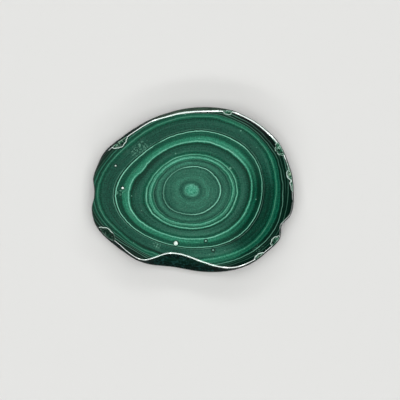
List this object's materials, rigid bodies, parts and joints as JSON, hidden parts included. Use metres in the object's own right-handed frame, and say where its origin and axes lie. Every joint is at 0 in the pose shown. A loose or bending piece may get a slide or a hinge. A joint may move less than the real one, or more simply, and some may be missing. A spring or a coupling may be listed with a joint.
{
  "type": "polished malachite slab",
  "caption": "Polished slice of banded malachite with concentric green growth rings, a flat sawn back and a wavy, chipped rim.",
  "frame": {"origin": "on the flat sawn back, straight under the eye of the growth rings", "axes": "+X along the slab's length, +Y across it away from the bay in its rim, +Z out of the polished face"},
  "size_m": [0.0405, 0.033, 0.005],
  "materials": {
    "malachite": "polished"
  },
  "bodies": {
    "root": {"malachite_slab": "malachite"}
  },
  "joints": []
}
